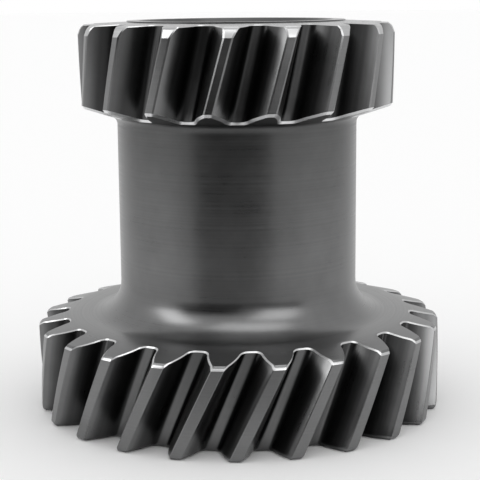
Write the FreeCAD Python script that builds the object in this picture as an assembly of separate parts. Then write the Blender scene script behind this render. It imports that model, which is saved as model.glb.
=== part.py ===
import FreeCAD, Part
import math
import os

# Double gear of one steel piece: a wide helical gear at the bottom, a smaller
# helical gear at the top and a plain round hub between them, on one through bore.
# Both gears have a right-hand helix. The teeth are hobbed out of a turned blank,
# whose lower web is flat inside the conical end faces of its teeth.
# Millimetres, +Z along the bore, origin at the centre of the bottom face.
# The front of the part faces -Y.

# A ratio named addendum, dedendum or form is a distance from the pitch circle in
# modules. A thickness ratio is the tooth's share of the pitch. The web share is the flat
# part of the way from the lower fillet to the tips.

# Hub and bore
hub_diameter = 52.0
bore_diameter = 40.0
bore_edge_chamfer = 1.0
thrust_boss_diameter = 47.0
thrust_boss_height = 0.7

# Lower gear
lower_teeth = 23
lower_tip_diameter = 88.5
lower_pressure_angle = 20.0
lower_helix_angle = 24.0
lower_tooth_index = -1.4
lower_addendum_ratio = 1.027
lower_dedendum_ratio = 0.911
lower_form_ratio = 0.711
lower_thickness_ratio = 0.497
lower_rim_height = 19.25
lower_end_angle = 13.0
lower_web_share = 0.4
lower_tip_chamfer = 0.6
lower_foot_chamfer = 0.9

# Upper gear
upper_teeth = 17
upper_tip_diameter = 68.0
upper_pressure_angle = 25.0
upper_helix_angle = 14.0
upper_tooth_index = -9.85
upper_addendum_ratio = 0.954
upper_dedendum_ratio = 0.903
upper_form_ratio = 0.632
upper_thickness_ratio = 0.481
upper_rim_bottom = 66.1
upper_rim_top = 83.6
upper_web_angle = 18.0
upper_tip_chamfer = 0.6
upper_lead_in_depth = 2.1
upper_lead_in_width = 1.15
upper_nose_depth = 1.05
upper_nose_width = 0.75
upper_face_rise = 0.45

# Fillets from the hub to the two webs
lower_web_fillet = 7.0
upper_web_fillet = 2.0

# Cutter sweep: the overrun past each end of a tooth, and past the tip circle
cutter_overrun = 2.0
cutter_clearance = 1.2
cutter_sections = 4
flank_flats = 3

AXIS = FreeCAD.Vector(0, 0, 1)
ORIGIN = FreeCAD.Vector(0, 0, 0)


def involute(angle):
    """Involute function of a pressure angle in radians."""
    return math.tan(angle) - angle


def polar(radius, angle, z=0.0):
    """Point at a radius and an angle in radians from +X."""
    return FreeCAD.Vector(radius * math.cos(angle), radius * math.sin(angle), z)


class HelicalGear:
    """Transverse tooth form and lead of one right-hand helical gear."""

    def __init__(self, teeth, tip_diameter, pressure_angle, helix_angle, index,
                 addendum_ratio, dedendum_ratio, form_ratio, thickness_ratio):
        helix = math.radians(helix_angle)
        normal_pressure = math.radians(pressure_angle)
        transverse_pressure = math.atan(math.tan(normal_pressure) / math.cos(helix))
        self.pitch_angle = 2 * math.pi / teeth
        self.teeth = teeth
        self.tip_radius = tip_diameter / 2
        self.module = self.tip_radius / (teeth / math.cos(helix) / 2 + addendum_ratio)
        self.pitch_radius = self.tip_radius - self.module * addendum_ratio
        self.root_radius = self.pitch_radius - self.module * dedendum_ratio
        self.form_radius = self.pitch_radius - self.module * form_ratio
        self.base_radius = self.pitch_radius * math.cos(transverse_pressure)
        self.twist_per_mm = math.tan(helix) / self.pitch_radius
        self.index = math.radians(index)
        half_thickness = self.pitch_angle / 2 * thickness_ratio
        self.base_half_tooth = half_thickness + involute(transverse_pressure)

    def pressure_at(self, radius):
        """Transverse pressure angle of the flank at a radius."""
        return math.acos(self.base_radius / radius)

    def half_space(self, radius):
        """Half of the angle of a tooth space at a radius."""
        return self.pitch_angle / 2 - self.base_half_tooth + involute(self.pressure_at(radius))

    def root_fillet(self):
        """Start, middle and end of the arc that joins a flank to the root circle."""
        pressure = self.pressure_at(self.form_radius)
        angle = self.half_space(self.form_radius)
        start = polar(self.form_radius, angle)
        normal = polar(1.0, angle + pressure - math.pi / 2)
        radius = (self.form_radius ** 2 - self.root_radius ** 2) / 2
        radius /= self.root_radius - self.form_radius * math.sin(pressure)
        centre = start + normal * radius
        end = centre * (self.root_radius / centre.Length)
        middle = (start - centre).normalize() + (end - centre).normalize()
        middle = centre + middle.normalize() * radius
        return start, middle, end

    def space_outline(self):
        """Closed outline of one tooth space in the XY plane, centred on +X.

        As hobbing leaves it, each flank is a chain of flats on the involute, which the
        root fillet joins to the root circle.
        """
        outer_radius = self.tip_radius + cutter_clearance
        step = (outer_radius - self.form_radius) / flank_flats
        radii = [self.form_radius + step * i for i in range(1, flank_flats + 1)]
        start, middle, end = self.root_fillet()
        half = [end, middle, start] + [polar(r, self.half_space(r)) for r in radii]
        other_half = [mirrored(point) for point in reversed(half)]
        return Part.makePolygon(half + other_half + [end])

    def space_cutter(self, bottom, top):
        """Twisted solid that cuts the first tooth space between two heights."""
        outline = self.space_outline()
        front = -math.pi / 2 + self.index + self.pitch_angle / 2
        sections = []
        for i in range(cutter_sections):
            rise = (top - bottom + 2 * cutter_overrun) * i / (cutter_sections - 1) - cutter_overrun
            section = outline.copy()
            section.rotate(ORIGIN, AXIS, math.degrees(front + self.twist_per_mm * rise))
            section.translate(FreeCAD.Vector(0, 0, bottom + rise))
            sections.append(section)
        return Part.makeLoft(sections, True, False)

    def all_cutters(self, bottom, top):
        """One cutter for each tooth space."""
        first = self.space_cutter(bottom, top)
        cutters = []
        for i in range(self.teeth):
            cutter = first.copy()
            cutter.rotate(ORIGIN, AXIS, math.degrees(self.pitch_angle * i))
            cutters.append(cutter)
        return cutters


def mirrored(point):
    """Mirror image of a point across the XZ plane."""
    return FreeCAD.Vector(point.x, -point.y, point.z)


def profile_point(radius, z):
    """Point of the turning profile in the XZ plane."""
    return FreeCAD.Vector(radius, 0, z)


def turned_blank():
    """The blank before hobbing: both rims, their webs, the hub and the bore."""
    hub = hub_diameter / 2
    bore = bore_diameter / 2
    boss = thrust_boss_diameter / 2
    lower_tip = lower_tip_diameter / 2
    upper_tip = upper_tip_diameter / 2
    height = upper_rim_top + thrust_boss_height

    slope = math.tan(math.radians(lower_end_angle))
    lower_tip_edge = lower_tip - lower_tip_chamfer
    lower_web_end = hub + lower_web_fillet
    lower_web_edge = lower_web_end + (lower_tip_edge - lower_web_end) * lower_web_share
    lower_web_z = lower_rim_height + (lower_tip - lower_web_edge) * slope
    lower_fillet_end = lower_web_z + lower_web_fillet
    lower_centre = profile_point(lower_web_end, lower_fillet_end)
    lower_middle = lower_centre + profile_point(-1, -1).normalize() * lower_web_fillet

    rake = math.radians(upper_web_angle)
    upper_turn = math.pi / 2 - rake
    upper_web_end = hub + upper_web_fillet * (1 - math.sin(rake))
    upper_web_z = upper_rim_bottom - (upper_tip - upper_web_end) * math.tan(rake)
    upper_fillet_end = upper_web_z - upper_web_fillet * math.cos(rake)
    upper_centre = profile_point(hub + upper_web_fillet, upper_fillet_end)
    upper_inward = profile_point(-math.cos(upper_turn / 2), math.sin(upper_turn / 2))
    upper_middle = upper_centre + upper_inward * upper_web_fillet

    upper_face_edge = upper_tip - upper_lead_in_width
    lower_chamfer_z = lower_rim_height + lower_tip_chamfer * slope
    upper_chamfer_z = upper_rim_bottom - upper_tip_chamfer * math.tan(rake)
    corners = [
        profile_point(bore, bore_edge_chamfer),
        profile_point(bore + bore_edge_chamfer, 0),
        profile_point(lower_tip - lower_foot_chamfer, 0),
        profile_point(lower_tip, lower_foot_chamfer),
        profile_point(lower_tip, lower_rim_height - lower_tip_chamfer),
        profile_point(lower_tip_edge, lower_chamfer_z),
        profile_point(lower_web_edge, lower_web_z),
        profile_point(lower_web_end, lower_web_z),
        lower_middle,
        profile_point(hub, lower_fillet_end),
        profile_point(hub, upper_fillet_end),
        upper_middle,
        profile_point(upper_web_end, upper_web_z),
        profile_point(upper_tip - upper_tip_chamfer, upper_chamfer_z),
        profile_point(upper_tip, upper_rim_bottom + upper_tip_chamfer),
        profile_point(upper_tip, upper_rim_top - upper_lead_in_depth),
        profile_point(upper_face_edge + upper_nose_width, upper_rim_top - upper_nose_depth),
        profile_point(upper_face_edge, upper_rim_top),
        profile_point(boss, upper_rim_top + upper_face_rise),
        profile_point(boss, height),
        profile_point(bore + bore_edge_chamfer, height),
        profile_point(bore, height - bore_edge_chamfer),
    ]
    arc_middles = (lower_middle, upper_middle)
    edges = []
    for i, start in enumerate(corners):
        end = corners[(i + 1) % len(corners)]
        if end in arc_middles:
            edges.append(Part.Arc(start, end, corners[i + 2]).toShape())
        elif start not in arc_middles:
            edges.append(Part.LineSegment(start, end).toShape())
    return Part.Face(Part.Wire(edges)).revolve(ORIGIN, AXIS, 360)


def double_gear():
    """The finished double gear as one solid."""
    lower = HelicalGear(lower_teeth, lower_tip_diameter, lower_pressure_angle,
                        lower_helix_angle, lower_tooth_index, lower_addendum_ratio,
                        lower_dedendum_ratio, lower_form_ratio, lower_thickness_ratio)
    upper = HelicalGear(upper_teeth, upper_tip_diameter, upper_pressure_angle,
                        upper_helix_angle, upper_tooth_index, upper_addendum_ratio,
                        upper_dedendum_ratio, upper_form_ratio, upper_thickness_ratio)
    cutters = lower.all_cutters(0, lower_rim_height)
    cutters += upper.all_cutters(upper_rim_bottom, upper_rim_top)
    return turned_blank().cut(cutters)


if __name__ == "__main__":
    os.makedirs("parts", exist_ok=True)
    gear = double_gear()
    print("solids", len(gear.Solids), "valid", gear.isValid(), "volume", round(gear.Volume))
    gear.Solids[0].exportStep("parts/double_gear.step")
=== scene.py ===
"""Looks of the double gear: a wide helical gear, a hub and a smaller helical gear in one steel piece.

The visible gear is one closed shell. Geometry Nodes repeat one tooth of each gear round the
axis, and the two rings meet halfway up the hub and the bore. Lengths are in millimetres in
the classes of the gear and become metres where a mesh is made. The front faces -Y.
"""

import logging
import math
from dataclasses import dataclass, field
from enum import Enum

import bpy
from mathutils import Matrix, Vector


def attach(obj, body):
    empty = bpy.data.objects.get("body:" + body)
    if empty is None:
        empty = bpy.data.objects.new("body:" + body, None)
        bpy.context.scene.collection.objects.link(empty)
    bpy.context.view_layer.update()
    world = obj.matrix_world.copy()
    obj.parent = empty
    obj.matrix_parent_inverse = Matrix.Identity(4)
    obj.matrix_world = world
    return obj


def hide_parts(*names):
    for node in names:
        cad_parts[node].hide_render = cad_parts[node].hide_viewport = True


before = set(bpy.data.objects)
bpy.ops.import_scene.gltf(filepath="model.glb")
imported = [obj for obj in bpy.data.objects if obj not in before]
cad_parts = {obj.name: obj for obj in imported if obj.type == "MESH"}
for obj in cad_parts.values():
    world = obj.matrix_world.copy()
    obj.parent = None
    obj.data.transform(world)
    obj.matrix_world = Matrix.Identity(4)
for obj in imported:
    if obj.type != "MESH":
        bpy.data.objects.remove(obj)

MM = 0.001
FULL_TURN = 2 * math.pi
log = logging.getLogger("double_gear")

Point = tuple[float, float, float]
Ring = list[Point]
Outline = list[tuple[float, float]]
Pairs = tuple[tuple[float, float], ...]
Socket = bpy.types.NodeSocket


def involute(angle: float) -> float:
    """Involute function of an angle in radians."""
    return math.tan(angle) - angle


def polar(radius: float, angle: float, height: float) -> Point:
    """Point at a radius, an angle from +X and a height."""
    return (radius * math.cos(angle), radius * math.sin(angle), height)


def in_scene(name: str, data: bpy.types.ID) -> bpy.types.Object:
    """Put a mesh, a light or a camera in the scene.

    Args:
        name: Name of the object.
        data: What the object holds.

    Returns:
        The object.
    """
    holder = bpy.data.objects.new(name, data)
    bpy.context.scene.collection.objects.link(holder)
    return holder


class Lay(Enum):
    """Way that the tool marks of a finish run, as shares of the radius and the height."""

    ALONG_AXIS = (0.0, 1.0)
    ALONG_RADIUS = (1.0, 0.0)
    ALONG_PROFILE = (-1.0, 1.0)


class Finish(Enum):
    """Finishes of the gear, each named after the face attribute that marks it."""

    SKIN = "hardened_skin"
    FLANK = "hobbed_flank"
    LAND = "turned_land"
    BEVEL = "filed_bevel"
    EDGE = "ground_edge"
    LEAD_IN = "ground_lead_in"
    SEAT = "ground_seat"


class Mix(Enum):
    """What a mix node mixes, with the numbers of its two inputs and its output."""

    FLOAT = (2, 3, 0)
    RGBA = (6, 7, 2)


@dataclass(frozen=True)
class Wiring:
    """Adds nodes to one node tree and links them."""

    tree: bpy.types.NodeTree

    def node(self, kind: str, inputs: dict[int | str, object] | None = None,
             **settings: object) -> bpy.types.Node:
        """Add a node.

        Args:
            kind: Type of the node.
            inputs: The socket to link or a constant, for inputs given by name or number.
            settings: Properties of the node, which are set before its inputs.

        Returns:
            The new node.
        """
        node = self.tree.nodes.new(kind)
        for name, setting in settings.items():
            setattr(node, name, setting)
        for key, source in (inputs or {}).items():
            if isinstance(source, Socket):
                self.tree.links.new(source, node.inputs[key])
            else:
                node.inputs[key].default_value = source
        return node

    def arithmetic(self, operation: str, *terms: float | Socket) -> Socket:
        """Result of a math node."""
        return self.node("ShaderNodeMath", dict(enumerate(terms)), operation=operation).outputs["Value"]

    def mix(self, kind: Mix, first: Socket, second: Socket, share: float, blend: str = "MIX") -> Socket:
        """Mix two factors or two colours.

        Args:
            kind: Factors or colours.
            first: What the mix starts from.
            second: What is mixed in.
            share: Share of the second.
            blend: Way in which colours are mixed.

        Returns:
            The mixture.
        """
        start, added, mixture = kind.value
        inputs = {"Factor": share, start: first, added: second}
        node = self.node("ShaderNodeMix", inputs, data_type=kind.name, blend_type=blend)
        return node.outputs[mixture]

    def noise(self, place: Socket, size: float, detail: float, roughness: float = 0.5) -> Socket:
        """Noise around one half, with soft patches of a size in millimetres."""
        inputs = {"Vector": place, "Scale": 1.0 / (size * MM), "Detail": detail, "Roughness": roughness}
        return self.node("ShaderNodeTexNoise", inputs).outputs["Fac"]

    def ramp(self, factor: Socket, stops: list[tuple[float, Point]],
             interpolation: str = "LINEAR") -> Socket:
        """Add a colour ramp.

        Args:
            factor: Place on the ramp.
            stops: Position and colour of each stop, in order.
            interpolation: How one colour passes into the next.

        Returns:
            The colour.
        """
        node = self.node("ShaderNodeValToRGB", {"Fac": factor})
        node.color_ramp.interpolation = interpolation
        elements = node.color_ramp.elements
        while len(elements) < len(stops):
            elements.new(stops[len(elements) - 1][0])
        for element, (position, colour) in zip(elements, stops):
            element.position = position
            element.color = (*colour, 1.0)
        return node.outputs["Color"]


@dataclass(frozen=True)
class SteelFinish:
    """Procedural steel finish with tool marks that run one way.

    The colours are linear greys, and lengths are in millimetres. A painted shading pairs a
    distance from the axis or a height with a factor of the colour, for painted shade and painted
    light.
    """

    finish: Finish
    dark: float
    light: float
    roughness: float
    lay: Lay
    mark_pitch: float
    mark_depth: float
    mark_detail: float = 3.0
    blotch_size: float = 9.0
    blotch_detail: float = 4.0
    blotch_roughness: float = 0.6
    grain_size: float = 0.35
    grain_detail: float = 2.0
    grain_depth: float = 0.004
    noise_low: float = 0.3
    noise_high: float = 0.7
    marks_in_colour: float = 0.3
    marks_in_gloss: float = 0.5
    roughness_swing: float = 0.05
    tint: Point = (1.0, 1.005, 1.01)
    painted_shading_by_radius: Pairs = ()
    painted_shading_by_height: Pairs = ()

    def material(self) -> bpy.types.Material:
        """Build the node material of this finish.

        Returns:
            The new material.
        """
        material = bpy.data.materials.new(self.finish.value)
        material.use_nodes = True
        material.node_tree.nodes.clear()
        wiring = Wiring(material.node_tree)
        place = wiring.node("ShaderNodeTexCoord").outputs["Object"]
        radius, height = self._position(wiring, place)
        blotch = wiring.noise(place, self.blotch_size, self.blotch_detail, self.blotch_roughness)
        marks = self._tool_marks(wiring, radius, height)
        colour = self._colour(wiring, blotch, marks)
        # Painted light and shade: the colour is multiplied by factors that follow the distance from the
        # axis and the height.
        for distance, shades in ((radius, self.painted_shading_by_radius), (height, self.painted_shading_by_height)):
            if shades:
                colour = self._paint_shading(wiring, colour, distance, shades)
        inputs = {"Metallic": 1.0, "Base Color": colour, "Roughness": self._gloss(wiring, blotch, marks),
                  "Normal": self._relief(wiring, place, marks)}
        steel = wiring.node("ShaderNodeBsdfPrincipled", inputs)
        wiring.node("ShaderNodeOutputMaterial", {"Surface": steel.outputs["BSDF"]})
        return material

    def _position(self, wiring: Wiring, place: Socket) -> tuple[Socket, Socket]:
        """Find the distance from the axis and the height.

        Args:
            wiring: The material's nodes.
            place: Object coordinates.

        Returns:
            Both sockets, in metres.
        """
        flat = wiring.node("ShaderNodeVectorMath", {0: place, 1: (1.0, 1.0, 0.0)}, operation="MULTIPLY")
        length = wiring.node("ShaderNodeVectorMath", {0: flat.outputs["Vector"]}, operation="LENGTH")
        split = wiring.node("ShaderNodeSeparateXYZ", {"Vector": place})
        return length.outputs["Value"], split.outputs["Z"]

    def _tool_marks(self, wiring: Wiring, radius: Socket, height: Socket) -> Socket:
        """Add fine uneven lines across the way that the tool moved.

        Args:
            wiring: The material's nodes.
            radius: Distance from the axis.
            height: Height.

        Returns:
            A factor around one half.
        """
        along_radius, along_axis = self.lay.value
        rise = wiring.arithmetic("MULTIPLY", height, along_axis)
        travel = wiring.arithmetic("MULTIPLY_ADD", radius, along_radius, rise)
        inputs = {"W": travel, "Scale": 1.0 / (self.mark_pitch * MM), "Detail": self.mark_detail}
        return wiring.node("ShaderNodeTexNoise", inputs, noise_dimensions="1D").outputs["Fac"]

    def _colour(self, wiring: Wiring, blotch: Socket, marks: Socket) -> Socket:
        """Colour the steel between its dark and its light grey.

        Args:
            wiring: The material's nodes.
            blotch: Factor of the soft tone.
            marks: Factor of the tool marks.

        Returns:
            The colour.
        """
        both = wiring.mix(Mix.FLOAT, blotch, marks, self.marks_in_colour)
        ends = ((self.noise_low, self.dark), (self.noise_high, self.light))
        return wiring.ramp(both, [(at, tuple(grey * part for part in self.tint)) for at, grey in ends])

    def _paint_shading(self, wiring: Wiring, colour: Socket, distance: Socket, shades: Pairs) -> Socket:
        """Paint light and shade into the colour with a distance: darker where shade falls, lighter where
        light falls.

        Args:
            wiring: The material's nodes.
            colour: Colour before the shade.
            distance: Distance from the axis or height, in metres.
            shades: Distances in millimetres and the factor of the colour at each.

        Returns:
            The shaded colour.
        """
        first, last = shades[0][0], shades[-1][0]
        inputs = {"Value": distance, "From Min": first * MM, "From Max": last * MM}
        reach = wiring.node("ShaderNodeMapRange", inputs)
        stops = [((at - first) / (last - first), (grey, grey, grey)) for at, grey in shades]
        shade = wiring.ramp(reach.outputs["Result"], stops, "EASE")
        return wiring.mix(Mix.RGBA, colour, shade, 1.0, "MULTIPLY")

    def _gloss(self, wiring: Wiring, blotch: Socket, marks: Socket) -> Socket:
        """Vary the roughness a little with the tone and the tool marks.

        Args:
            wiring: The material's nodes.
            blotch: Factor of the soft tone.
            marks: Factor of the tool marks.

        Returns:
            The roughness.
        """
        inputs = {"Value": wiring.mix(Mix.FLOAT, blotch, marks, self.marks_in_gloss),
                  "From Min": self.noise_low, "From Max": self.noise_high,
                  "To Min": self.roughness - self.roughness_swing,
                  "To Max": self.roughness + self.roughness_swing}
        return wiring.node("ShaderNodeMapRange", inputs).outputs["Result"]

    def _relief(self, wiring: Wiring, place: Socket, marks: Socket) -> Socket:
        """Raise the tool marks and the fine grain.

        Args:
            wiring: The material's nodes.
            place: Object coordinates.
            marks: Factor of the tool marks.

        Returns:
            The normal.
        """
        grain = wiring.noise(place, self.grain_size, self.grain_detail)
        inputs = {"Strength": 1.0, "Distance": self.mark_depth * MM, "Height": marks}
        lines = wiring.node("ShaderNodeBump", inputs)
        inputs = {"Strength": 1.0, "Distance": self.grain_depth * MM, "Height": grain,
                  "Normal": lines.outputs["Normal"]}
        return wiring.node("ShaderNodeBump", inputs).outputs["Normal"]


@dataclass(frozen=True)
class ToothForm:
    """Transverse form and lead of one right-hand helical gear.

    Half a tooth pitch runs from the middle of a tooth space to the middle of the tooth. The
    counts say how many steps of it lie on the root land, root fillet, flank, tip-edge bevel
    and tip land. A corner sharper than sharpest_corner, a cosine, is set in less.
    """

    teeth: int
    tip_radius: float
    pressure_angle: float
    helix_angle: float
    index_angle: float
    index_height: float
    addendum_ratio: float
    dedendum_ratio: float
    form_ratio: float
    thickness_ratio: float
    tip_edge_bevel: float
    land_steps: int
    fillet_steps: int
    flank_steps: int
    tip_steps: int
    sharpest_corner: float = 0.6

    @property
    def pitch_angle(self) -> float:
        """Angle from one tooth to the next, in radians."""
        return FULL_TURN / self.teeth

    @property
    def steps(self) -> int:
        """Number of mesh steps round one whole tooth pitch."""
        return 2 * (self.land_steps + self.fillet_steps + self.flank_steps + 1 + self.tip_steps)

    @property
    def helix(self) -> float:
        """Helix angle in radians."""
        return math.radians(self.helix_angle)

    @property
    def module(self) -> float:
        """Normal module."""
        return self.tip_radius / (self.teeth / math.cos(self.helix) / 2 + self.addendum_ratio)

    @property
    def pitch_radius(self) -> float:
        """Radius of the pitch circle."""
        return self.tip_radius - self.module * self.addendum_ratio

    @property
    def root_radius(self) -> float:
        """Radius of the root circle."""
        return self.pitch_radius - self.module * self.dedendum_ratio

    @property
    def form_radius(self) -> float:
        """Radius at which the flank passes into the root fillet."""
        return self.pitch_radius - self.module * self.form_ratio

    @property
    def twist(self) -> float:
        """Turn of the teeth for each millimetre of height, in radians."""
        return math.tan(self.helix) / self.pitch_radius

    @property
    def space_start(self) -> float:
        """Angle from +X of the middle of the first tooth space at height zero, in radians."""
        index = math.radians(self.index_angle) - self.twist * self.index_height
        return -math.pi / 2 + index - self.pitch_angle / 2

    def transverse_pressure(self) -> float:
        """Pressure angle in the transverse plane at the pitch circle."""
        return math.atan(math.tan(math.radians(self.pressure_angle)) / math.cos(self.helix))

    def pressure_at(self, radius: float) -> float:
        """Pressure angle in the transverse plane at a radius."""
        return math.acos(self.pitch_radius * math.cos(self.transverse_pressure()) / radius)

    def half_space(self, radius: float) -> float:
        """Half of the angle of a tooth space at a radius."""
        half_tooth = self.pitch_angle / 2 * self.thickness_ratio + involute(self.transverse_pressure())
        return self.pitch_angle / 2 - half_tooth + involute(self.pressure_at(radius))

    def root_fillet(self) -> Outline:
        """Points of the root fillet from the root circle to the flank.

        Returns:
            Radius and angle of each point, without the last one, which starts the flank.
        """
        pressure, angle = self.pressure_at(self.form_radius), self.half_space(self.form_radius)
        start = Vector((math.cos(angle), math.sin(angle))) * self.form_radius
        lean = angle + pressure - math.pi / 2
        radius = (self.form_radius ** 2 - self.root_radius ** 2) / 2
        radius /= self.root_radius - self.form_radius * math.sin(pressure)
        centre = start + Vector((math.cos(lean), math.sin(lean))) * radius
        end = centre * (self.root_radius / centre.length)
        first, last = end - centre, start - centre
        points = []
        for i in range(self.fillet_steps):
            spoke = first.slerp(last, i / self.fillet_steps).normalized() * radius
            point = centre + spoke
            points.append((point.length, math.atan2(point.y, point.x)))
        return points

    def half_outline(self, tip_radius: float) -> Outline:
        """Outline from the middle of a tooth space to the middle of the tooth.

        Args:
            tip_radius: Radius of the tip land, which the turned edges of the blank reduce.

        Returns:
            Radius and angle from the middle of the space for each point.
        """
        fillet = self.root_fillet()
        points = [(self.root_radius, fillet[0][1] * i / self.land_steps) for i in range(self.land_steps)]
        points += fillet
        top = tip_radius - self.tip_edge_bevel
        for i in range(self.flank_steps + 1):
            radius = self.form_radius + (top - self.form_radius) * i / self.flank_steps
            points.append((radius, self.half_space(radius)))
        edge = self.half_space(tip_radius) + self.tip_edge_bevel / tip_radius
        for i in range(self.tip_steps + 1):
            share = i / self.tip_steps
            points.append((tip_radius, edge + (self.pitch_angle / 2 - edge) * share))
        return points

    def outline(self, tip_radius: float, inset: float = 0.0) -> Outline:
        """Outline of one whole tooth pitch from space to space, set in by a bevel's width.

        Args:
            tip_radius: Radius of the tip land.
            inset: Distance by which the outline is moved into the tooth.

        Returns:
            Radius and angle from the middle of the first space for each point.
        """
        half = self.half_outline(tip_radius)
        whole = half + [(r, self.pitch_angle - a) for r, a in reversed(half[:-1])]
        if inset == 0:
            return whole
        flat = [Vector((r * math.cos(a), r * math.sin(a))) for r, a in whole]
        turn = Matrix.Rotation(self.pitch_angle, 2)
        before, after = turn.inverted() @ flat[-2], turn @ flat[1]
        padded = [before] + flat + [after]
        moved = []
        for i, point in enumerate(flat):
            into, out = (point - padded[i]).normalized(), (padded[i + 2] - point).normalized()
            normal = Vector((-into.y - out.y, into.x + out.x)).normalized()
            corner = max(self.sharpest_corner, normal.dot(Vector((-out.y, out.x))))
            shifted = point + normal * (inset / corner)
            moved.append((shifted.length, math.atan2(shifted.y, shifted.x)))
        moved[0] = (moved[0][0], 0.0)
        moved[-1] = (moved[0][0], self.pitch_angle)
        return moved


@dataclass(frozen=True)
class EndFace:
    """Turned end face of a gear: a cone, with a steeper one at the tips and a flat web inside.

    slope and tip_slope are heights gained for each millimetre towards the axis.
    """

    tip_radius: float
    tip_height: float
    slope: float
    tip_slope: float = 0.0
    tip_width: float = 0.0
    flat_radius: float = 0.0

    def height(self, radius: float) -> float:
        """Find the height of the face.

        Args:
            radius: Distance from the axis.

        Returns:
            The height there.
        """
        inward = self.tip_radius - max(radius, self.flat_radius)
        cut = min(inward, self.tip_width)
        return self.tip_height + cut * self.tip_slope + (inward - cut) * self.slope


@dataclass
class ToothMesh:
    """Rows of points that cover one tooth pitch of a gear, from the bore to the hub or back."""

    form: ToothForm
    columns_all_round: int
    rows: list[Ring] = field(default_factory=list)
    strips: list[Finish] = field(default_factory=list)
    on_tooth: list[bool] = field(default_factory=list)

    def grid_angle(self, height: float) -> float:
        """Find the first column of the plain rings, on the grid that both gears share.

        Args:
            height: Height at which the first column stays closest to the tooth space.

        Returns:
            The angle from +X, in radians.
        """
        step = FULL_TURN / self.columns_all_round
        near = self.form.space_start + self.form.twist * height + math.pi / 2
        return round(near / step) * step - math.pi / 2

    def even_ring(self, radius: float, height: float, level: float) -> Ring:
        """Space points evenly on a circle.

        Args:
            radius: Radius of the ring.
            height: Height of the ring.
            level: Height of the gear's end, which sets where the first column is.

        Returns:
            The points over one tooth pitch.
        """
        first = self.grid_angle(level)
        step = self.form.pitch_angle / self.form.steps
        return [polar(radius, first + step * i, height) for i in range(self.form.steps + 1)]

    def plain_ring(self, radius: float, height: float, level: float, finish: Finish) -> None:
        """Add a ring of evenly spaced points, with the finish of the strip that ends at it."""
        self._add(self.even_ring(radius, height, level), finish, False)

    def tooth_ring(self, outline: Outline, heights: list[float], finish: Finish,
                   on_tooth: bool = True) -> None:
        """Add a ring that follows the teeth.

        Args:
            outline: Radius and angle of each point.
            heights: Height of each point.
            finish: Finish of the strip that ends at this ring.
            on_tooth: Whether that strip lies on the flanks and lands.
        """
        start, twist = self.form.space_start, self.form.twist
        ring = [polar(r, start + a + twist * z, z) for (r, a), z in zip(outline, heights)]
        self._add(ring, finish, on_tooth)

    def halfway_ring(self, target: Ring, face: EndFace, finish: Finish) -> None:
        """Add a ring halfway from the last ring to another, on an end face.

        Args:
            target: The ring that is aimed at.
            face: The end face that both rings lie on.
            finish: Finish of the strip that ends at this ring.
        """
        ring = []
        for here, there in zip(self.rows[-1], target):
            radius = (math.hypot(here[0], here[1]) + math.hypot(there[0], there[1])) / 2
            angle = math.atan2(here[1], here[0])
            turn = (math.atan2(there[1], there[0]) - angle + math.pi) % FULL_TURN - math.pi
            ring.append(polar(radius, angle + turn / 2, face.height(radius)))
        self._add(ring, finish, False)

    def _add(self, ring: Ring, finish: Finish, on_tooth: bool) -> None:
        """Keep a ring.

        Args:
            ring: The points over one tooth pitch.
            finish: Finish of the strip that ends at this ring.
            on_tooth: Whether that strip lies on the flanks and lands.
        """
        self.rows.append(ring)
        self.strips.append(finish)
        self.on_tooth.append(on_tooth)

    def _finish_at(self, strip: int, column: int) -> Finish:
        """Choose the finish of a face, which on the teeth depends on where round the tooth it is.

        Args:
            strip: Number of the strip.
            column: Number of the face in the strip.

        Returns:
            The finish.
        """
        finish, form = self.strips[strip], self.form
        if not self.on_tooth[strip] or finish is Finish.BEVEL:
            return finish
        step = min(column, form.steps - 1 - column)
        if step < form.land_steps + form.fillet_steps + form.flank_steps:
            return Finish.FLANK
        return Finish.LEAD_IN if finish is Finish.LEAD_IN else Finish.LAND

    def build(self, name: str) -> bpy.types.Object:
        """Make the mesh of one tooth pitch.

        Args:
            name: Name of the object.

        Returns:
            The object, with one face attribute for each finish.
        """
        width = len(self.rows[0])
        vertices = [tuple(MM * value for value in point) for ring in self.rows for point in ring]
        faces, marks = [], []
        for strip in range(1, len(self.rows)):
            below, above = (strip - 1) * width, strip * width
            for column in range(width - 1):
                faces.append((below + column, below + column + 1, above + column + 1, above + column))
                marks.append(self._finish_at(strip, column))
        mesh = bpy.data.meshes.new(name)
        mesh.from_pydata(vertices, [], faces)
        for finish in Finish:
            layer = mesh.attributes.new(finish.value, "BOOLEAN", "FACE")
            layer.data.foreach_set("value", [mark is finish for mark in marks])
        return in_scene(name, mesh)


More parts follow.
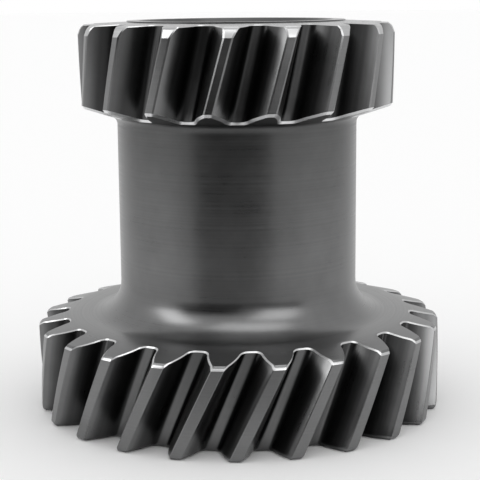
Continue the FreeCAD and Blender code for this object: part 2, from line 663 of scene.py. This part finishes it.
@dataclass
class LowerGear:
    """The wide gear at the bottom, with its flat web and its half of the hub."""

    form: ToothForm
    hub_radius: float
    bore_radius: float
    bore_chamfer: float
    middle_height: float
    columns_all_round: int
    land_top: float = 18.75
    bevel: float = 0.24
    turned_edge: float = 0.4
    turned_slope: float = 1.0
    end_angle: float = 13.0
    web_radius: float = 37.26
    web_fillet: float = 7.0
    foot_round: float = 1.1
    foot_rows: int = 6
    foot_ring: float = 35.0
    tooth_rows: int = 9
    fillet_rows: int = 12

    def tooth(self) -> bpy.types.Object:
        """Build one tooth pitch from the bore, round the foot and the tooth, to the hub.

        Returns:
            The object with the mesh of one tooth pitch.
        """
        mesh = ToothMesh(self.form, self.columns_all_round)
        self._foot(mesh)
        self._flanks(mesh)
        self._web(mesh)
        return mesh.build("lower_tooth")

    def _foot(self, mesh: ToothMesh) -> None:
        """Cover the bore, the flat bottom face and the rounded foot of the tooth.

        Args:
            mesh: The rows of the tooth.
        """
        mesh.plain_ring(self.bore_radius, self.middle_height, 0, Finish.LAND)
        mesh.plain_ring(self.bore_radius, self.bore_chamfer, 0, Finish.LAND)
        mesh.plain_ring(self.bore_radius + self.bore_chamfer, 0, 0, Finish.SKIN)
        mesh.plain_ring(self.foot_ring, 0, 0, Finish.SEAT)
        for i in range(self.foot_rows + 1):
            turn = math.pi / 2 * i / self.foot_rows
            inset = self.foot_round * (1 - math.sin(turn))
            rise = self.foot_round * (1 - math.cos(turn))
            outline = self.form.outline(self.form.tip_radius, inset)
            mesh.tooth_ring(outline, [rise] * len(outline), Finish.FLANK if i else Finish.SEAT, i > 0)

    def _flanks(self, mesh: ToothMesh) -> None:
        """Cover the tooth from its foot up to the bevel of its top end.

        Args:
            mesh: The rows of the tooth.
        """
        outline, end = self.form.outline(self.form.tip_radius), self.end_face()
        rises = [end.height(r) - self.bevel - self.foot_round for r, _ in outline]
        for i in range(1, self.tooth_rows + 1):
            heights = [self.foot_round + rise * i / self.tooth_rows for rise in rises]
            mesh.tooth_ring(outline, heights, Finish.FLANK)

    def end_face(self) -> EndFace:
        """Top end face of the teeth and the web.

        Returns:
            The end face.
        """
        slope = math.tan(math.radians(self.end_angle))
        return EndFace(self.form.tip_radius, self.land_top, slope, self.turned_slope,
                       self.bevel + self.turned_edge, self.web_radius)

    def _web(self, mesh: ToothMesh) -> None:
        """Cover the end bevel, the end of the tooth, the web, the fillet and the hub.

        Args:
            mesh: The rows of the tooth.
        """
        end = self.end_face()
        inner = self.form.outline(self.form.tip_radius, self.bevel)
        mesh.tooth_ring(inner, [end.height(r) for r, _ in inner], Finish.BEVEL)
        turned = self.form.tip_radius - self.bevel - self.turned_edge
        cut = [(min(r, turned), a) for r, a in inner]
        mesh.tooth_ring(cut, [end.height(r) for r, _ in cut], Finish.SKIN, False)
        web_height = end.height(self.web_radius)
        level = end.height(self.form.root_radius)
        mesh.halfway_ring(mesh.even_ring(self.web_radius, web_height, level), end, Finish.SKIN)
        mesh.plain_ring(self.web_radius, web_height, level, Finish.SKIN)
        mesh.plain_ring(self.hub_radius + self.web_fillet, web_height, level, Finish.SKIN)
        for i in range(1, self.fillet_rows + 1):
            angle = math.pi / 2 * (1 - i / self.fillet_rows)
            reach = self.hub_radius + self.web_fillet * (1 - math.cos(angle))
            height = web_height + self.web_fillet * (1 - math.sin(angle))
            mesh.plain_ring(reach, height, level, Finish.SKIN)
        mesh.plain_ring(self.hub_radius, self.middle_height, level, Finish.SKIN)


@dataclass
class UpperGear:
    """The smaller gear at the top, with its conical underside, its boss and its half of the hub.

    Each step of the lead-in is a distance from the tip circle and one below the top face.
    """

    form: ToothForm
    hub_radius: float
    bore_radius: float
    bore_chamfer: float
    middle_height: float
    columns_all_round: int
    land_bottom: float = 66.85
    lower_bevel: float = 0.5
    under_angle: float = 18.0
    under_fillet: float = 2.0
    under_gap: float = 0.02
    top: float = 83.6
    lead_in: Pairs = ((0.0, 2.1), (0.4, 1.05), (0.75, 0.5), (1.15, 0.0))
    top_bevel: float = 0.2
    face_ring: float = 25.5
    face_rise: float = 0.45
    boss_radius: float = 23.5
    boss_height: float = 0.7
    tooth_rows: int = 8
    fillet_rows: int = 6

    def tooth(self) -> bpy.types.Object:
        """Build one tooth pitch from the hub, round the tooth and over the top, to the bore.

        Returns:
            The object with the mesh of one tooth pitch.
        """
        mesh = ToothMesh(self.form, self.columns_all_round)
        self._under_side(mesh)
        self._flanks(mesh)
        self._top(mesh)
        return mesh.build("upper_tooth")

    def under_face(self) -> EndFace:
        """Conical underside of the web and the teeth."""
        slope = math.tan(math.radians(self.under_angle))
        return EndFace(self.form.tip_radius, self.land_bottom - self.lower_bevel, -slope)

    def fillet_edge(self) -> float:
        """Radius at which the small fillet passes into the underside."""
        return self.hub_radius + self.under_fillet * (1 - math.sin(math.radians(self.under_angle)))

    def _under_side(self, mesh: ToothMesh) -> None:
        """Cover the hub and the small fillet out to the underside of the web.

        Args:
            mesh: The rows of the tooth.
        """
        under = self.under_face()
        level = under.height(self.form.root_radius)
        slope = math.radians(self.under_angle)
        centre = under.height(self.fillet_edge()) - self.under_fillet * math.cos(slope)
        mesh.plain_ring(self.hub_radius, self.middle_height, level, Finish.SKIN)
        mesh.plain_ring(self.hub_radius, centre, level, Finish.SKIN)
        for i in range(1, self.fillet_rows + 1):
            angle = (math.pi / 2 - slope) * i / self.fillet_rows
            reach = self.hub_radius + self.under_fillet * (1 - math.cos(angle))
            mesh.plain_ring(reach, centre + self.under_fillet * math.sin(angle), level, Finish.SKIN)

    def _flanks(self, mesh: ToothMesh) -> None:
        """Cover the underside, the lower bevel and the tooth up to the lead-in of its tip.

        Args:
            mesh: The rows of the tooth.
        """
        under = self.under_face()
        innermost = self.fillet_edge() + self.under_gap
        inner = self.form.outline(self.form.tip_radius, self.lower_bevel)
        inner = [(max(r, innermost), a) for r, a in inner]
        mesh.tooth_ring(inner, [under.height(r) for r, _ in inner], Finish.SKIN, False)
        outline = self.form.outline(self.form.tip_radius)
        start = [under.height(r) + self.lower_bevel for r, _ in outline]
        mesh.tooth_ring(outline, start, Finish.EDGE, False)
        end = self.top - self.lead_in[0][1]
        for i in range(1, self.tooth_rows + 1):
            heights = [low + (end - low) * i / self.tooth_rows for low in start]
            mesh.tooth_ring(outline, heights, Finish.FLANK)

    def _top(self, mesh: ToothMesh) -> None:
        """Cover the lead-in of the tip, the top face, the boss and the bore.

        Args:
            mesh: The rows of the tooth.
        """
        tip = self.form.tip_radius
        face_edge = tip - self.lead_in[-1][0]
        face = EndFace(face_edge, self.top, self.face_rise / (face_edge - self.boss_radius))
        for inward, depth in self.lead_in[1:]:
            rim = self.form.outline(tip - inward)
            drop = max(depth, self.top_bevel)
            mesh.tooth_ring(rim, [face.height(r) - drop for r, _ in rim], Finish.LEAD_IN)
        edge = self.form.outline(face_edge, self.top_bevel)
        mesh.tooth_ring(edge, [face.height(r) for r, _ in edge], Finish.BEVEL)
        boss_top = self.top + self.boss_height
        for radius, height, finish in (
            (self.face_ring, face.height(self.face_ring), Finish.SEAT),
            (self.boss_radius, face.height(self.boss_radius), Finish.SEAT),
            # The boss wall and the bore's top chamfer take the skin's painted shade by height, which makes
            # them dark.
            (self.boss_radius, boss_top, Finish.SKIN),
            (self.bore_radius + self.bore_chamfer, boss_top, Finish.SEAT),
            (self.bore_radius, boss_top - self.bore_chamfer, Finish.SKIN),
            (self.bore_radius, self.middle_height, Finish.LAND),
        ):
            mesh.plain_ring(radius, height, self.top, finish)


@dataclass
class ToothRepeater:
    """Geometry Nodes that repeat one tooth of each gear round the axis and weld them."""

    lower_teeth: int
    upper_teeth: int
    weld: float = 0.004
    crease_angle: float = 19.0

    def group(self, name: str, inputs: dict[str, str], output: str) -> bpy.types.NodeTree:
        """Make an empty node group with named sockets.

        Args:
            name: Name of the group.
            inputs: Kind of each input, by its name.
            output: Name of the geometry that the group gives.

        Returns:
            The node group.
        """
        tree = bpy.data.node_groups.new(name, "GeometryNodeTree")
        for socket, kind in inputs.items():
            tree.interface.new_socket(socket, in_out="INPUT", socket_type="NodeSocket" + kind)
        tree.interface.new_socket(output, in_out="OUTPUT", socket_type="NodeSocketGeometry")
        return tree

    def ring_tree(self) -> bpy.types.NodeTree:
        """Node group that repeats one tooth pitch round the axis.

        Returns:
            The node group.
        """
        tree = self.group("ring_of_teeth", {"Tooth": "Geometry", "Teeth": "Int"}, "Ring")
        wiring = Wiring(tree)
        entry = wiring.node("NodeGroupInput").outputs
        line = wiring.node("GeometryNodeMeshLine", {"Count": entry["Teeth"], "Offset": (0.0, 0.0, 0.0)})
        pitch = wiring.arithmetic("DIVIDE", FULL_TURN, entry["Teeth"])
        turn = wiring.arithmetic("MULTIPLY", wiring.node("GeometryNodeInputIndex").outputs["Index"], pitch)
        about_axis = wiring.node("ShaderNodeCombineXYZ", {"Z": turn})
        inputs = {"Points": line.outputs["Mesh"], "Instance": entry["Tooth"],
                  "Rotation": about_axis.outputs["Vector"]}
        repeat = wiring.node("GeometryNodeInstanceOnPoints", inputs)
        wiring.node("NodeGroupOutput", {"Ring": repeat.outputs["Instances"]})
        return tree

    def gear_tree(self, finishes: dict[Finish, bpy.types.Material]) -> bpy.types.NodeTree:
        """Node group of the whole double gear.

        Args:
            finishes: Material of each finish.

        Returns:
            The node group, whose own geometry is one tooth of the lower gear.
        """
        ring = self.ring_tree()
        sockets = {"Lower Tooth": "Geometry", "Upper Tooth": "Object", "Lower Teeth": "Int",
                   "Upper Teeth": "Int", "Weld Distance": "Float"}
        tree = self.group("two_rings_of_teeth", sockets, "Gear")
        wiring = Wiring(tree)
        entry = wiring.node("NodeGroupInput").outputs
        upper = wiring.node("GeometryNodeObjectInfo", {"Object": entry["Upper Tooth"]})
        together = wiring.node("GeometryNodeJoinGeometry")
        for tooth, count in ((entry["Lower Tooth"], entry["Lower Teeth"]),
                             (upper.outputs["Geometry"], entry["Upper Teeth"])):
            rings = wiring.node("GeometryNodeGroup", {"Tooth": tooth, "Teeth": count}, node_tree=ring)
            tree.links.new(rings.outputs["Ring"], together.inputs["Geometry"])
        real = wiring.node("GeometryNodeRealizeInstances", {"Geometry": together.outputs["Geometry"]})
        inputs = {"Geometry": real.outputs["Geometry"], "Distance": entry["Weld Distance"]}
        last = wiring.node("GeometryNodeMergeByDistance", inputs).outputs["Geometry"]
        for finish, material in finishes.items():
            inputs = {"Name": finish.value}
            marked = wiring.node("GeometryNodeInputNamedAttribute", inputs, data_type="BOOLEAN")
            inputs = {"Geometry": last, "Selection": marked.outputs["Attribute"], "Material": material}
            last = wiring.node("GeometryNodeSetMaterial", inputs).outputs["Geometry"]
        wiring.node("NodeGroupOutput", {"Gear": last})
        return tree

    def whole_gear(self, lower: bpy.types.Object, upper: bpy.types.Object,
                   finishes: dict[Finish, bpy.types.Material]) -> bpy.types.Object:
        """Repeat both teeth and bake the closed shell of the gear.

        Args:
            lower: One tooth pitch of the lower gear.
            upper: One tooth pitch of the upper gear.
            finishes: Material of each finish.

        Returns:
            The finished piece.
        """
        modifier = lower.modifiers.new("teeth", "NODES")
        modifier.node_group = self.gear_tree(finishes)
        values = {"Upper Tooth": upper, "Lower Teeth": self.lower_teeth,
                  "Upper Teeth": self.upper_teeth, "Weld Distance": self.weld * MM}
        for item in modifier.node_group.interface.items_tree:
            if item.in_out == "INPUT" and item.name in values:
                modifier[item.identifier] = values[item.name]
        graph = bpy.context.evaluated_depsgraph_get()
        mesh = bpy.data.meshes.new_from_object(lower.evaluated_get(graph))
        lower.modifiers.remove(modifier)
        for tooth in (lower, upper):
            bpy.data.objects.remove(tooth)
        mesh.name = "double_gear_shell"
        for finish in Finish:
            mesh.attributes.remove(mesh.attributes[finish.value])
        mesh.shade_smooth()
        mesh.set_sharp_from_angle(angle=math.radians(self.crease_angle))
        return in_scene("double_gear_shell", mesh)


@dataclass
class DoubleGear:
    """The whole double gear: its teeth, hub, bore and finishes."""

    hub_radius: float = 26.0
    bore_radius: float = 20.0
    bore_chamfer: float = 1.0
    middle_height: float = 45.0
    lower_form: ToothForm = ToothForm(
        teeth=23, tip_radius=44.25, pressure_angle=20.0, helix_angle=24.0, index_angle=-1.4,
        index_height=0.0, addendum_ratio=1.027, dedendum_ratio=0.911, form_ratio=0.56,
        thickness_ratio=0.497, tip_edge_bevel=0.1, land_steps=1, fillet_steps=6, flank_steps=6,
        tip_steps=3)
    upper_form: ToothForm = ToothForm(
        teeth=17, tip_radius=34.0, pressure_angle=25.0, helix_angle=14.0, index_angle=-9.85,
        index_height=66.1, addendum_ratio=0.954, dedendum_ratio=0.903, form_ratio=0.54,
        thickness_ratio=0.481, tip_edge_bevel=0.2, land_steps=3, fillet_steps=7, flank_steps=8,
        tip_steps=4)

    def finishes(self) -> dict[Finish, bpy.types.Material]:
        """Build the materials of all the finishes.

        Returns:
            The material of each finish, in the order in which the faces get them.
        """
        steels = (
            SteelFinish(Finish.SKIN, dark=0.125, light=0.165, roughness=0.31,
                        lay=Lay.ALONG_PROFILE, mark_pitch=0.5, mark_depth=0.0002,
                        # Painted shade: the skin darkens up the hub and on the underside of the upper
                        # gear, where that gear shades it.
                        painted_shading_by_height=((26.0, 1.0), (34.0, 1.04), (43.0, 0.96), (51.0, 0.86), (60.0, 0.72),
                                      (64.0, 0.66))),
            SteelFinish(Finish.FLANK, dark=0.14, light=0.18, roughness=0.31,
                        lay=Lay.ALONG_RADIUS, mark_pitch=0.6, mark_depth=0.0002,
                        # Painted shade and light: the flanks darken down into the tooth spaces, where
                        # shade falls, and lighten at the tips, where light falls.
                        painted_shading_by_radius=((27.5, 0.6), (27.7, 0.2), (31.0, 0.42), (34.0, 1.2), (37.0, 0.95),
                                      (37.94, 0.95), (38.1, 0.2), (41.5, 0.5), (44.2, 1.3))),
            SteelFinish(Finish.LAND, dark=0.17, light=0.21, roughness=0.32,
                        lay=Lay.ALONG_AXIS, mark_pitch=0.4, mark_depth=0.003),
            SteelFinish(Finish.BEVEL, dark=0.42, light=0.52, roughness=0.3,
                        lay=Lay.ALONG_AXIS, mark_pitch=0.3, mark_depth=0.002),
            SteelFinish(Finish.EDGE, dark=0.64, light=0.76, roughness=0.3,
                        lay=Lay.ALONG_AXIS, mark_pitch=0.3, mark_depth=0.002),
            SteelFinish(Finish.LEAD_IN, dark=0.38, light=0.46, roughness=0.3,
                        lay=Lay.ALONG_AXIS, mark_pitch=0.4, mark_depth=0.0004),
            SteelFinish(Finish.SEAT, dark=0.2, light=0.26, roughness=0.28,
                        lay=Lay.ALONG_RADIUS, mark_pitch=0.35, mark_depth=0.003, grain_depth=0.0008),
        )
        return {steel.finish: steel.material() for steel in steels}

    def build(self) -> bpy.types.Object:
        """Build the gear and put it in the place of the solid.

        Returns:
            The finished piece.
        """
        around = self.lower_form.teeth * self.lower_form.steps
        shared = (self.hub_radius, self.bore_radius, self.bore_chamfer, self.middle_height, around)
        lower = LowerGear(self.lower_form, *shared).tooth()
        log.info("lower tooth: %d faces", len(lower.data.polygons))
        upper = UpperGear(self.upper_form, *shared).tooth()
        log.info("upper tooth: %d faces", len(upper.data.polygons))
        repeater = ToothRepeater(self.lower_form.teeth, self.upper_form.teeth)
        piece = repeater.whole_gear(lower, upper, self.finishes())
        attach(piece, "root")
        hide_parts("double_gear")
        log.info("%s: %d faces", piece.name, len(piece.data.polygons))
        return piece


@dataclass(frozen=True)
class MattePaint:
    """Plain grey paint of the floor and the cards."""

    name: str
    grey: float
    sheen: float = 0.0
    roughness: float = 0.9

    def material(self) -> bpy.types.Material:
        """Build the paint's material.

        Returns:
            The new material.
        """
        material = bpy.data.materials.new(self.name)
        material.use_nodes = True
        paint = material.node_tree.nodes["Principled BSDF"]
        paint.inputs["Base Color"].default_value = (self.grey, self.grey, self.grey, 1.0)
        paint.inputs["Roughness"].default_value = self.roughness
        paint.inputs["Specular IOR Level"].default_value = self.sheen
        return material


@dataclass(frozen=True)
class SoftLight:
    """One rectangular soft box that faces the gear and shows in its reflections alone.

    Its direction is an angle from the front and one above the table, in degrees. Its size
    is in metres, and its glow is its brightness where white paper in the room has 1.
    """

    name: str
    side_angle: float
    rise_angle: float
    size: tuple[float, float]
    glow: float
    distance: float = 0.9

    def add(self, target: Vector) -> None:
        """Put the light in the scene, turned to a point.

        Args:
            target: The point that the light faces.
        """
        side, rise = math.radians(self.side_angle), math.radians(self.rise_angle)
        level = self.distance * math.cos(rise)
        reach = Vector((level * math.sin(side), -level * math.cos(side), self.distance * math.sin(rise)))
        lamp = bpy.data.lights.new(self.name, "AREA")
        lamp.shape = "RECTANGLE"
        lamp.size, lamp.size_y = self.size
        lamp.energy = self.glow * math.pi * self.size[0] * self.size[1]
        holder = in_scene(self.name, lamp)
        holder.visible_camera = False
        holder.visible_diffuse = False
        turn = (-reach).to_track_quat("-Z", "Y").to_matrix().to_4x4()
        holder.matrix_world = Matrix.Translation(target + reach) @ turn


@dataclass(frozen=True)
class DarkCard:
    """Curved card round the gear, darker than the room and seen only in reflections.

    It spans two angles from the front, in degrees, and two edges, each a radius and a height
    in metres.
    """

    name: str
    first: float
    last: float
    inner: tuple[float, float]
    outer: tuple[float, float]
    grey: float
    steps: int = 24

    def add(self) -> None:
        """Put the card in the scene."""
        vertices, faces = [], []
        for i in range(self.steps + 1):
            angle = math.radians(self.first + (self.last - self.first) * i / self.steps)
            for radius, height in (self.inner, self.outer):
                vertices.append((radius * math.sin(angle), -radius * math.cos(angle), height))
        for i in range(self.steps):
            faces.append((2 * i, 2 * i + 1, 2 * i + 3, 2 * i + 2))
        mesh = bpy.data.meshes.new(self.name)
        mesh.from_pydata(vertices, [], faces)
        mesh.materials.append(MattePaint(self.name, self.grey).material())
        card = in_scene(self.name, mesh)
        card.visible_camera = False
        card.visible_diffuse = False
        card.visible_shadow = False


@dataclass
class Studio:
    """Pale floor, white surroundings, soft lights, dark cards and the camera of the photograph.

    Lengths are in metres, apart from the sensor's, and the camera's angles in radians.
    """

    focal_pixels: float = 1343.0
    image_pixels: float = 480.0
    sensor_width: float = 36.0
    near_clip: float = 0.01
    camera_distance: float = 0.29297
    camera_height: float = 0.09017
    pitch: float = 0.182700
    yaw: float = 0.0014865
    roll: float = 0.0088132
    floor_size: float = 12.0
    floor_white: float = 0.98
    floor_sheen: float = 0.1
    sky_strength: float = 1.0
    target_height: float = 0.04

    def build(self) -> None:
        """Add everything that isn't part of the gear."""
        bpy.context.scene.view_settings.view_transform = "Standard"
        self.sky()
        self.floor()
        for card in self.cards():
            card.add()
        for light in self.lights():
            light.add(Vector((0.0, 0.0, self.target_height)))
        self.camera()
        log.info("studio: floor, %d cards, %d lights and camera", len(self.cards()), len(self.lights()))

    def sky(self) -> None:
        """Plain white surroundings."""
        world = bpy.data.worlds.new("white_room")
        world.use_nodes = True
        background = world.node_tree.nodes["Background"]
        background.inputs["Color"].default_value = (1.0, 1.0, 1.0, 1.0)
        background.inputs["Strength"].default_value = self.sky_strength
        bpy.context.scene.world = world

    def floor(self) -> None:
        """Plain pale floor that keeps the shadow of the gear."""
        half = self.floor_size / 2
        corners = [(-half, -half, 0), (half, -half, 0), (half, half, 0), (-half, half, 0)]
        mesh = bpy.data.meshes.new("floor")
        mesh.from_pydata(corners, [], [(0, 1, 2, 3)])
        mesh.materials.append(MattePaint("floor_white", self.floor_white, self.floor_sheen).material())
        in_scene("floor", mesh)

    def cards(self) -> tuple[DarkCard, ...]:
        """Place the cards in front and on the table, which give the steel its contrast.

        Returns:
            The cards.
        """
        wall, top, edge = 0.6, 0.34, 0.14
        table, near, middle = 0.001, 0.07, 0.22
        return (
            DarkCard("front_card", -58.0, 0.0, (wall, 0.0), (wall, top), grey=0.005),
            DarkCard("right_low_card", 0.0, 60.0, (wall, 0.0), (wall, edge), grey=0.05),
            DarkCard("right_high_card", 0.0, 20.0, (wall, edge), (wall, top), grey=0.45),
            DarkCard("near_table_card", -35.0, 25.0, (near, table), (middle, table), grey=0.6),
            DarkCard("far_table_card", -40.0, 32.0, (middle, table), (wall, table), grey=0.04),
        )

    def lights(self) -> tuple[SoftLight, ...]:
        """Place the soft lights of the studio.

        Returns:
            The lights.
        """
        return (
            SoftLight("left", side_angle=-70.0, rise_angle=34.0, size=(0.36, 0.6), glow=3.6),
            SoftLight("right", side_angle=38.0, rise_angle=28.0, size=(0.6, 0.5), glow=2.1),
            SoftLight("overhead", side_angle=22.0, rise_angle=70.0, size=(0.75, 0.45), glow=1.8),
        )

    def camera(self) -> None:
        """Camera at the place and angle of the photograph."""
        cp, sp = math.cos(self.pitch), math.sin(self.pitch)
        cy, sy = math.cos(self.yaw), math.sin(self.yaw)
        forward = Vector((sy * cp, cy * cp, -sp))
        level = Vector((cy, -sy, 0.0))
        down = forward.cross(level)
        right = level * math.cos(self.roll) + down * math.sin(self.roll)
        down = down * math.cos(self.roll) - level * math.sin(self.roll)
        data = bpy.data.cameras.new("photo_camera")
        data.sensor_width = self.sensor_width
        data.lens = self.focal_pixels / self.image_pixels * data.sensor_width
        data.clip_start = self.near_clip
        camera = in_scene("photo_camera", data)
        axes = Matrix((right, -down, -forward)).transposed().to_4x4()
        camera.matrix_world = Matrix.Translation((0.0, -self.camera_distance, self.camera_height)) @ axes
        bpy.context.scene.camera = camera


def main() -> None:
    """Build the gear and the studio."""
    logging.basicConfig(level=logging.INFO, format="%(name)s: %(message)s")
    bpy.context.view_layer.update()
    DoubleGear().build()
    Studio().build()


if __name__ == "__main__":
    main()
